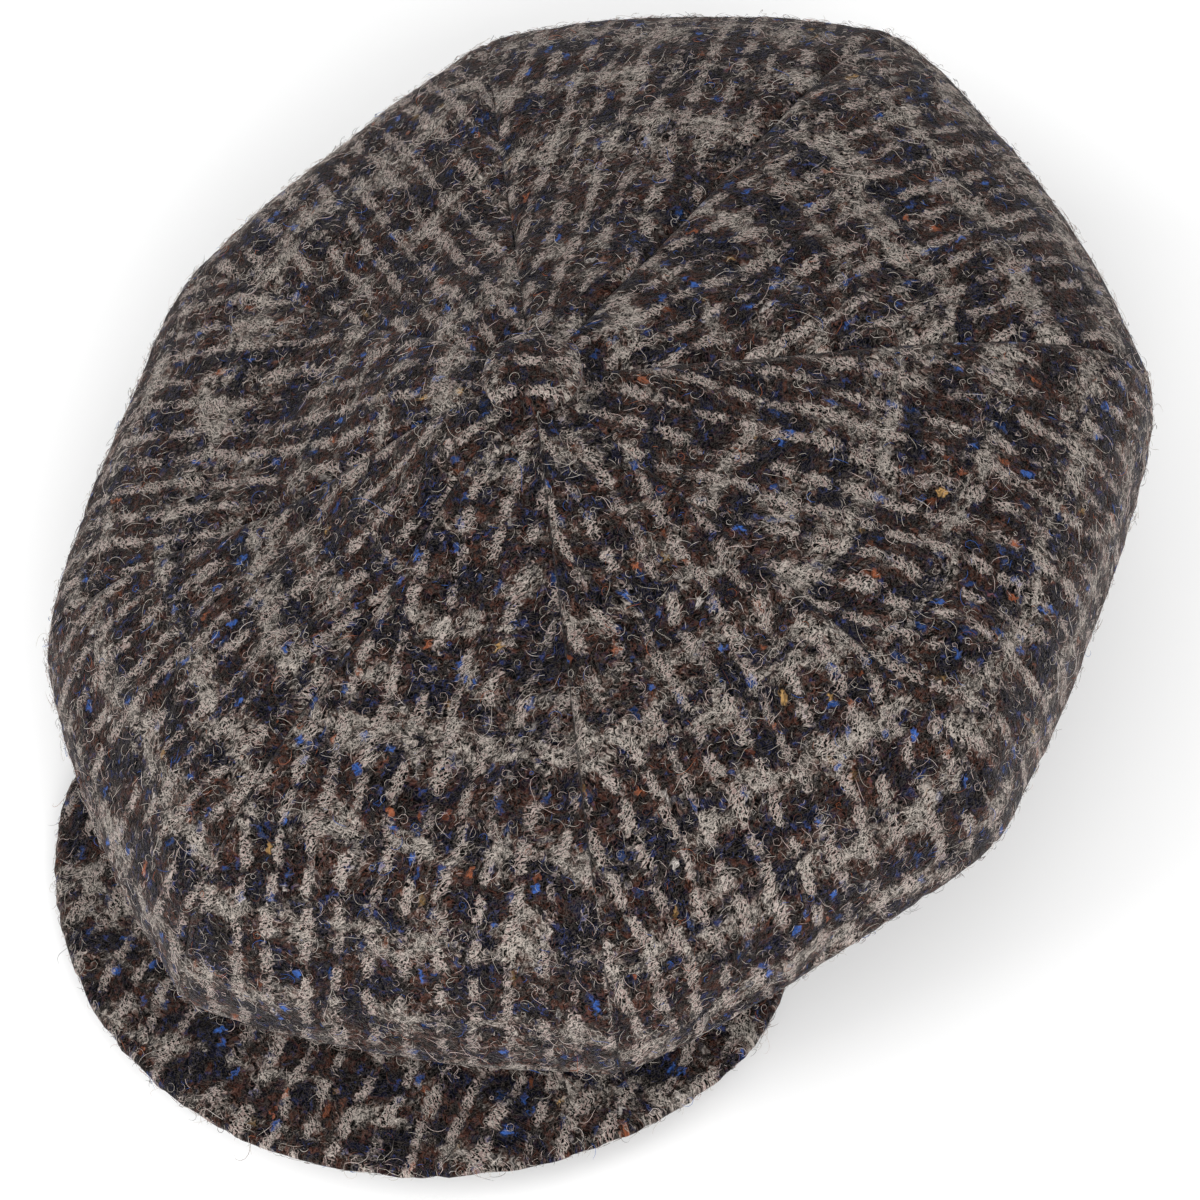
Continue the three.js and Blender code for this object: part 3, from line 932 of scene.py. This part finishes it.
def hair_template(steps):
    """One straight hair with pointed ends. Its points give a place along it and an angle."""
    shape = bmesh.new()
    centre = Matrix.Translation((0, 0, 0.5))
    bmesh.ops.create_cone(
        shape, cap_ends=False, segments=HAIR_SIDES, radius1=1, radius2=1, depth=1, matrix=centre
    )
    upright = [edge for edge in shape.edges if edge.verts[0].co.z != edge.verts[1].co.z]
    bmesh.ops.subdivide_edges(shape, edges=upright, cuts=steps - 1, use_grid_fill=True)
    for level in (0, 1):
        end = [point for point in shape.verts if abs(point.co.z - level) < HAIR_END]
        bmesh.ops.pointmerge(shape, verts=end, merge_co=(0, 0, level))
    bmesh.ops.triangulate(shape, faces=shape.faces[:])
    bmesh.ops.recalc_face_normals(shape, faces=shape.faces[:])
    points = np.array([point.co[:] for point in shape.verts])
    shape.verts.index_update()
    faces = np.array([[corner.index for corner in face.verts] for face in shape.faces])
    shape.free()
    return points, faces


# Two kinds of loose hair: number for each curl, steps along it, length, bend in radians a
# millimetre, and lift
HAIR_KINDS = {
    "curls": {"number": 1, "steps": 8, "length": 5.6, "bend": 0.8, "lift": 0.55},
    "fuzz": {"number": 2, "steps": 3, "length": 2.3, "bend": 0.5, "lift": 0.4},
}
HAIR_SEEDS = {"panel": 100, "next_panel": 10, "peak": 200, "button": 210, "roots": 10}
SPARE_ROOTS = 6
SMALL_STEP = 0.004

# Nap of a panel: its last share, how far it stays from the button and the seams, and how thinly it
# grows under the rim and near the button
PANEL_NAP = {
    "ends": 0.93, "from_tip": 0.04, "from_seam": 0.4,
    "under_rim": 0.35, "rim_ends": 0.8, "at_button": 0.3, "button": (12.0, 18.0),
}
PEAK_NAP = {"starts": 0.02, "length": 0.5, "end": 0.97, "on_top": 0.4, "edge": (0.7, 0.8)}
BUTTON_NAP = {"top": 0.98, "share": 0.9, "tone": 0.5}

# Middles of the jitter that the tweed adds to its cloth map
PULL_MIDDLE = np.array([1.2, 1.4])


def build_nap(name, kind, roots, frames, tone, seed, slot):
    """Loose hairs, one at each root, as one mesh from arrays. Lengths are in millimetres."""
    sizes = bpy.context.scene.cap_sizes
    rng = np.random.default_rng(seed)
    count = len(roots)
    steps = kind["steps"]
    template, faces = hair_template(steps)
    part = template[:, 2]
    ring = np.arctan2(template[:, 1], template[:, 0])
    length = kind["length"] * rng.lognormal(0.0, HAIR_SPREAD["length"], count)
    heading = rng.uniform(0, math.tau, count)
    curl = rng.normal(0, kind["bend"], count)
    change = rng.normal(0, HAIR_SPREAD["bend_change"], count)
    lift = kind["lift"] * rng.gamma(*HAIR_SPREAD["lift"], count)
    thick = sizes.hair_thickness / MM / 2 * rng.uniform(*HAIR_SPREAD["thickness"], count)
    free_end = rng.uniform(*HAIR_SPREAD["free_end"], count)

    # Walk along each hair in the plane of the cloth
    levels = np.linspace(0, 1, steps + 1)
    ahead_at = levels[None, :] * length[:, None]
    turn = heading[:, None] + curl[:, None] * ahead_at + change[:, None] * ahead_at**2
    step = (length / steps)[:, None]
    middle_turn = (turn[:, 1:] + turn[:, :-1]) / 2
    start = np.zeros((count, 1))
    x = np.concatenate([start, np.cumsum(np.cos(middle_turn) * step, 1)], 1)
    y = np.concatenate([start, np.cumsum(np.sin(middle_turn) * step, 1)], 1)
    rise = math.pi * free_end[:, None] * levels[None, :] ** HAIR_SPREAD["rise"]
    z = lift[:, None] * np.sin(rise) - HAIR_SPREAD["root"]
    path = np.stack([x, y, z], axis=-1) @ frames + roots[:, None, :]

    # Put a small ring of points round each step of the path
    column = np.rint(part * steps).astype(int)
    side = np.stack([-np.sin(turn), np.cos(turn), np.zeros_like(turn)], axis=-1) @ frames
    taper = np.sin(math.pi * np.clip(part, 0.0, 1.0)) ** HAIR_SPREAD["taper"]
    radius = thick[:, None] * taper
    offset = (
        side[:, column] * (radius * np.cos(ring))[..., None]
        + frames[:, 2:3, :] * (radius * np.sin(ring))[..., None]
    )
    points = path[:, column] + offset
    corners = faces[None] + (np.arange(count) * len(template))[:, None, None]
    mesh = bpy.data.meshes.new(name)
    mesh.vertices.add(points.shape[0] * points.shape[1])
    mesh.vertices.foreach_set("co", ((points + MIDDLE) * MM).astype(np.float32).ravel())
    mesh.loops.add(corners.size)
    mesh.loops.foreach_set("vertex_index", corners.astype(np.int32).ravel())
    mesh.polygons.add(corners.size // 3)
    mesh.polygons.foreach_set("loop_start", np.arange(0, corners.size, 3, dtype=np.int32))
    mesh.update(calc_edges=True)
    on_dark, on_light = (np.cumsum([row[column] for row in HAIR_FINISHES]) for column in (1, 2))
    shares = mix(on_dark / on_dark[-1], on_light / on_light[-1], tone[:, None])
    finish = (rng.uniform(0, 1, (count, 1)) > shares).sum(axis=1)
    for material in hair_materials():
        mesh.materials.append(material)
    mesh.polygons.foreach_set("material_index", np.repeat(finish, len(faces)).astype(np.int32))
    return finish_piece(name, mesh, None, slot)


def nap_for(place, surface, curls, seed, slot):
    """Hairs of each kind over a surface. surface(x, y) gives points, share of area and tone."""
    for step, kind in enumerate(HAIR_KINDS):
        count = curls * HAIR_KINDS[kind]["number"]
        rng = np.random.default_rng(seed * HAIR_SEEDS["roots"] + step)
        spread = rng.uniform(0, 1, (count * SPARE_ROOTS, 2))
        chance = surface(spread[:, 0], spread[:, 1])[1]
        kept = spread[rng.uniform(0, 1, len(spread)) < chance][:count]
        roots, _, tone = surface(kept[:, 0], kept[:, 1])
        beside = surface(kept[:, 0] + SMALL_STEP, kept[:, 1])[0]
        beyond = surface(kept[:, 0], kept[:, 1] + SMALL_STEP)[0]
        right = unit(beside - roots)
        normal = unit(np.cross(right, beyond - roots))
        frames = np.stack([right, np.cross(normal, right), normal], axis=1)
        build_nap(f"{kind}_{place}", HAIR_KINDS[kind], roots, frames, tone, seed + step, slot)


def build_panel_nap(panel):
    sizes = bpy.context.scene.cap_sizes
    pattern = PanelPattern(panel)
    widest = pattern.widths.max()

    def surface(column, row):
        share = pattern.share_at(np.clip(1 - row, PANEL_NAP["from_tip"], 1) * PANEL_NAP["ends"])
        width = pattern.width(share)
        from_seam = PANEL_NAP["from_seam"] / width
        across = np.clip(column, from_seam, 1 - from_seam)
        below_rim = smooth_step(share, UPPER_SHARE, PANEL_NAP["rim_ends"])
        seen = mix(1.0, PANEL_NAP["under_rim"], below_rim)
        off_button = smooth_step(pattern.length(share), *PANEL_NAP["button"])
        seen = seen * mix(PANEL_NAP["at_button"], 1.0, off_button)
        tone = cloth_tone(panel_cloth(panel, across, share, pattern) + PULL_MIDDLE)
        return cloth_point(panel, across, share, pattern), width / widest * seen, tone

    seed = HAIR_SEEDS["panel"] + HAIR_SEEDS["next_panel"] * panel
    nap_for(f"panel_{panel + 1}", surface, sizes.panel_hairs, seed, "crown_cloth")


def build_peak_nap():
    sizes = bpy.context.scene.cap_sizes

    def surface(column, row):
        around = PEAK_NAP["starts"] + PEAK_NAP["length"] * column
        side = mix(-PEAK_NAP["end"], PEAK_NAP["end"], 1 - row)
        points = peak_point(side, around)
        reach = np.linalg.norm(peak_outer_edge(side) - peak_inner_edge(side), axis=1)
        tone = cloth_tone(drifted(points[:, :2] + np.array(PEAK_CLOTH)) + PULL_MIDDLE)
        at_edge = mix(PEAK_NAP["on_top"], 1.0, smooth_step(column, *PEAK_NAP["edge"]))
        return points, reach / PEAK["depth"] * at_edge, tone

    nap_for("peak", surface, sizes.peak_hairs, HAIR_SEEDS["peak"], "peak_cloth")


def build_button_nap():
    sizes = bpy.context.scene.cap_sizes
    top = TIP["height"] + HEM["gap"] + BUTTON["edge_height"]

    def surface(column, row):
        turn = np.arcsin(np.clip(row, 0, BUTTON_NAP["top"]))
        azimuth = column * math.tau
        radius = BUTTON["radius"] * np.cos(turn) ** BUTTON["dome_fullness"]
        height = top + BUTTON["dome_height"] * np.sin(turn)
        points = np.stack([radius * np.cos(azimuth), radius * np.sin(azimuth), height], axis=-1)
        share, tone = (np.full(len(points), BUTTON_NAP[name]) for name in ("share", "tone"))
        return points, share, tone

    nap_for("button", surface, sizes.button_hairs, HAIR_SEEDS["button"], "button_cloth")


# Steps of a screen's colour, and the curve that turns them into light
SCREEN_STEPS = 255
SCREEN_CURVE = {"straight_to": 0.04045, "slope": 12.92, "offset": 0.055, "power": 2.4}


def from_screen(tone):
    """Scene value for one part of a screen's colour, from 0 to 1."""
    if tone <= SCREEN_CURVE["straight_to"]:
        return tone / SCREEN_CURVE["slope"]
    offset = SCREEN_CURVE["offset"]
    return ((tone + offset) / (1 + offset)) ** SCREEN_CURVE["power"]


def length_property(name, description, default, least, most):
    """A size in metres, with its least and greatest."""
    return bpy.props.FloatProperty(
        name=name, description=description, default=default, min=least, max=most,
        unit="LENGTH", subtype="DISTANCE",
    )


def number_property(name, description, default, most):
    return bpy.props.IntProperty(
        name=name, description=description, default=default, min=1, max=most
    )


def colour_property(name, description, *steps):
    """A colour, given in the steps of a screen's red, green and blue."""
    default = (*(from_screen(step / SCREEN_STEPS) for step in steps), 1.0)
    return bpy.props.FloatVectorProperty(
        name=name, description=description, default=default, size=4, min=0, max=1,
        subtype="COLOR",
    )


class CapSizes(bpy.types.PropertyGroup):
    """Sizes of the cloth and its seams."""

    cloth_wall: length_property(
        "Cloth thickness", "Thickness of the crown's cloth", 0.002, 0.001, 0.003,
    )
    seam_depth: length_property(
        "Seam depth", "How far the cloth dips into a crown seam", 0.0007, 0, 0.003,
    )
    seam_width: length_property(
        "Seam width", "Half width of the valley beside a seam", 0.0011, 0.0005, 0.01,
    )
    pucker_height: length_property(
        "Pucker height", "Height of the puckers beside a seam", 0.0006, 0, 0.002,
    )
    pucker_length: length_property(
        "Pucker length", "Length of a pucker along the seam", 0.008, 0.003, 0.03,
    )
    cloth_waves: length_property(
        "Cloth waves", "Height of the soft unevenness of the crown", 0.0009, 0, 0.003,
    )
    yarn_lumps: length_property(
        "Yarn lumps", "Height of the lumps that the thick yarns make", 0.0005, 0, 0.002,
    )
    hair_thickness: length_property(
        "Hair thickness", "Thickness of a loose hair", 0.0001, 0.00005, 0.0005,
    )
    panel_hairs: number_property(
        "Hairs on a panel", "Number of long loose hairs on one panel", 1300, 8000,
    )
    peak_hairs: number_property(
        "Hairs on the peak", "Number of loose hairs on the peak", 1100, 8000,
    )
    button_hairs: number_property(
        "Hairs on the button", "Number of loose hairs on the button", 80, 2000,
    )


class CapColours(bpy.types.PropertyGroup):
    """Colours of the yarns, the neps and the hairs."""

    taupe_yarn: colour_property("Taupe yarn", "Light yarn along a panel", 192, 174, 168)
    cream_weft: colour_property("Cream weft", "Light yarn across a panel", 184, 172, 163)
    dark_yarn: colour_property("Dark yarn", "Near black yarn", 28, 22, 22)
    navy_yarn: colour_property("Navy yarn", "Blue black yarn", 27, 28, 47)
    brown_yarn: colour_property("Brown yarn", "Dark brown yarn", 92, 57, 46)
    blue_fleck: colour_property("Blue fleck", "Blue fibres in the dark yarn", 43, 56, 110)
    blue_nep: colour_property("Blue nep", "Royal blue nep", 50, 89, 160)
    rust_nep: colour_property("Rust nep", "Rust nep", 150, 86, 58)
    cream_nep: colour_property("Cream nep", "Off-white nep", 196, 188, 182)
    ochre_nep: colour_property("Ochre nep", "Ochre nep", 178, 140, 88)
    grey_hair: colour_property("Grey hair", "Hairs that stand off the dark cloth", 76, 68, 64)
    loose_hair: colour_property("Loose hair", "Hairs that lie on the cloth", 180, 172, 163)


class CAP_OT_panels(bpy.types.Operator):
    """Makes the eight panels of the crown"""

    bl_idname = "cap.make_panels"
    bl_label = "Crown panels"

    def execute(self, context):
        for panel in range(len(SEAMS)):
            build_panel(panel)
        return {"FINISHED"}


class CAP_OT_button(bpy.types.Operator):
    """Makes the cloth-covered button"""

    bl_idname = "cap.make_button"
    bl_label = "Button"

    def execute(self, context):
        build_button()
        return {"FINISHED"}


class CAP_OT_peak(bpy.types.Operator):
    """Makes the cloth-covered peak"""

    bl_idname = "cap.make_peak"
    bl_label = "Peak"

    def execute(self, context):
        build_peak()
        return {"FINISHED"}


class CAP_OT_band(bpy.types.Operator):
    """Makes the headband"""

    bl_idname = "cap.make_band"
    bl_label = "Headband"

    def execute(self, context):
        build_band()
        return {"FINISHED"}


class CAP_OT_nap(bpy.types.Operator):
    """Makes the loose hairs on the panels, the peak and the button"""

    bl_idname = "cap.make_nap"
    bl_label = "Nap"

    def execute(self, context):
        for panel in range(len(SEAMS)):
            build_panel_nap(panel)
        build_peak_nap()
        build_button_nap()
        return {"FINISHED"}


# Photographer's view of the cap
VIEW = {"azimuth": 33.0, "elevation": 55.0, "roll": -10.0, "distance": 1100.0}
IMAGE_SIZE = 1200
FOCAL_PIXELS = 4620.0
SENSOR = 36.0
BUTTON_PIXEL = (533, 378)
BUTTON_TOP = 100.0
CLIP_RANGE = (0.01, 50.0)


def add_camera():
    """A camera at the photograph's angle. The button's middle falls on its pixel."""
    turn, rise, roll = (math.radians(VIEW[name]) for name in ("azimuth", "elevation", "roll"))
    flat = math.cos(rise)
    back = Vector((math.sin(turn) * flat, -math.cos(turn) * flat, math.sin(rise)))
    level = Vector((math.cos(turn), math.sin(turn), 0))
    upright = back.cross(level)
    right = level * math.cos(roll) + upright * math.sin(roll)
    up = upright * math.cos(roll) - level * math.sin(roll)
    per_pixel = VIEW["distance"] / FOCAL_PIXELS
    aside = (BUTTON_PIXEL[0] - IMAGE_SIZE / 2) * per_pixel
    above = (IMAGE_SIZE / 2 - BUTTON_PIXEL[1]) * per_pixel
    target = Vector(MIDDLE) + Vector((0, 0, BUTTON_TOP))
    place = target + back * VIEW["distance"] - right * aside - up * above
    data = bpy.data.cameras.new("photo_camera")
    data.sensor_width = SENSOR
    data.lens = FOCAL_PIXELS / IMAGE_SIZE * SENSOR
    data.clip_start, data.clip_end = CLIP_RANGE
    camera = bpy.data.objects.new("photo_camera", data)
    bpy.context.scene.collection.objects.link(camera)
    axes = Matrix((right, up, back)).transposed().to_4x4()
    camera.matrix_world = Matrix.Translation(place * MM) @ axes
    bpy.context.scene.camera = camera


# Square soft lights: name, place, size and power, in metres and watts
LIGHTS = [
    ("key_light", (1.4, -1.5, 1.1), 1.8, 60.0),
    ("fill_light", (-1.6, -0.9, 1.0), 1.6, 28.0),
    ("back_light", (-0.4, 1.6, 1.1), 1.4, 4.0),
]
LIT_PLACE = (0, 0, 0.05)
SKY = {"Color": (1, 1, 1, 1), "Strength": 0.68}

# Floor: half its width in metres, its two tones, and the scale of the patches between them
FLOOR = {"reach": 6.0, "tones": (0.91, 0.93), "patches": 3.0, "roughness": 0.9}


def add_light(name, place, size, power):
    data = bpy.data.lights.new(name, "AREA")
    data.shape = "SQUARE"
    data.size = size
    data.energy = power
    light = bpy.data.objects.new(name, data)
    bpy.context.scene.collection.objects.link(light)
    direction = Vector(LIT_PLACE) - Vector(place)
    turn = direction.to_track_quat("-Z", "Y").to_matrix().to_4x4()
    light.matrix_world = Matrix.Translation(place) @ turn


def add_floor():
    shape = bmesh.new()
    bmesh.ops.create_grid(shape, x_segments=1, y_segments=1, size=FLOOR["reach"])
    mesh = bpy.data.meshes.new("floor")
    shape.to_mesh(mesh)
    shape.free()
    shader = Shader("pale_floor")
    place = shader.node("ShaderNodeTexCoord", None, None, 3)
    share = shader.noise(place, scale=FLOOR["patches"])
    pale = shader.blend(share, *((tone, tone, tone, 1) for tone in FLOOR["tones"]))
    mesh.materials.append(shader.surface({"Base Color": pale, "Roughness": FLOOR["roughness"]}))
    floor = bpy.data.objects.new("floor", mesh)
    bpy.context.scene.collection.objects.link(floor)


class CAP_OT_stage(bpy.types.Operator):
    """Makes the floor, the soft lights and the camera"""

    bl_idname = "cap.make_stage"
    bl_label = "Stage"

    def execute(self, context):
        add_floor()
        for light in LIGHTS:
            add_light(*light)
        world = bpy.data.worlds.new("soft_sky")
        world.use_nodes = True
        sky = world.node_tree.nodes["Background"]
        for name, value in SKY.items():
            sky.inputs[name].default_value = value
        context.scene.world = world
        context.scene.view_settings.view_transform = "Standard"
        add_camera()
        return {"FINISHED"}


OPERATORS = (
    CAP_OT_stage, CAP_OT_panels, CAP_OT_button, CAP_OT_peak, CAP_OT_band, CAP_OT_nap,
)


class CAP_PT_tools(bpy.types.Panel):
    """Lists the cap's operators and settings"""

    bl_idname = "CAP_PT_tools"
    bl_label = "Flat cap"
    bl_space_type = "VIEW_3D"
    bl_region_type = "UI"
    bl_category = "Flat cap"

    def draw(self, context):
        for operator in OPERATORS:
            self.layout.operator(operator.bl_idname)
        for settings in (context.scene.cap_sizes, context.scene.cap_colours):
            for name in settings.__annotations__:
                self.layout.prop(settings, name)


CLASSES = (CapSizes, CapColours, *OPERATORS, CAP_PT_tools)


def register():
    for item in CLASSES:
        bpy.utils.register_class(item)
    bpy.types.Scene.cap_sizes = bpy.props.PointerProperty(type=CapSizes)
    bpy.types.Scene.cap_colours = bpy.props.PointerProperty(type=CapColours)


def unregister():
    del bpy.types.Scene.cap_colours
    del bpy.types.Scene.cap_sizes
    for item in reversed(CLASSES):
        bpy.utils.unregister_class(item)


def main():
    register()
    bpy.ops.cap.make_stage()
    bpy.ops.cap.make_panels()
    bpy.ops.cap.make_button()
    bpy.ops.cap.make_peak()
    bpy.ops.cap.make_band()
    bpy.ops.cap.make_nap()


if __name__ == "__main__":
    main()
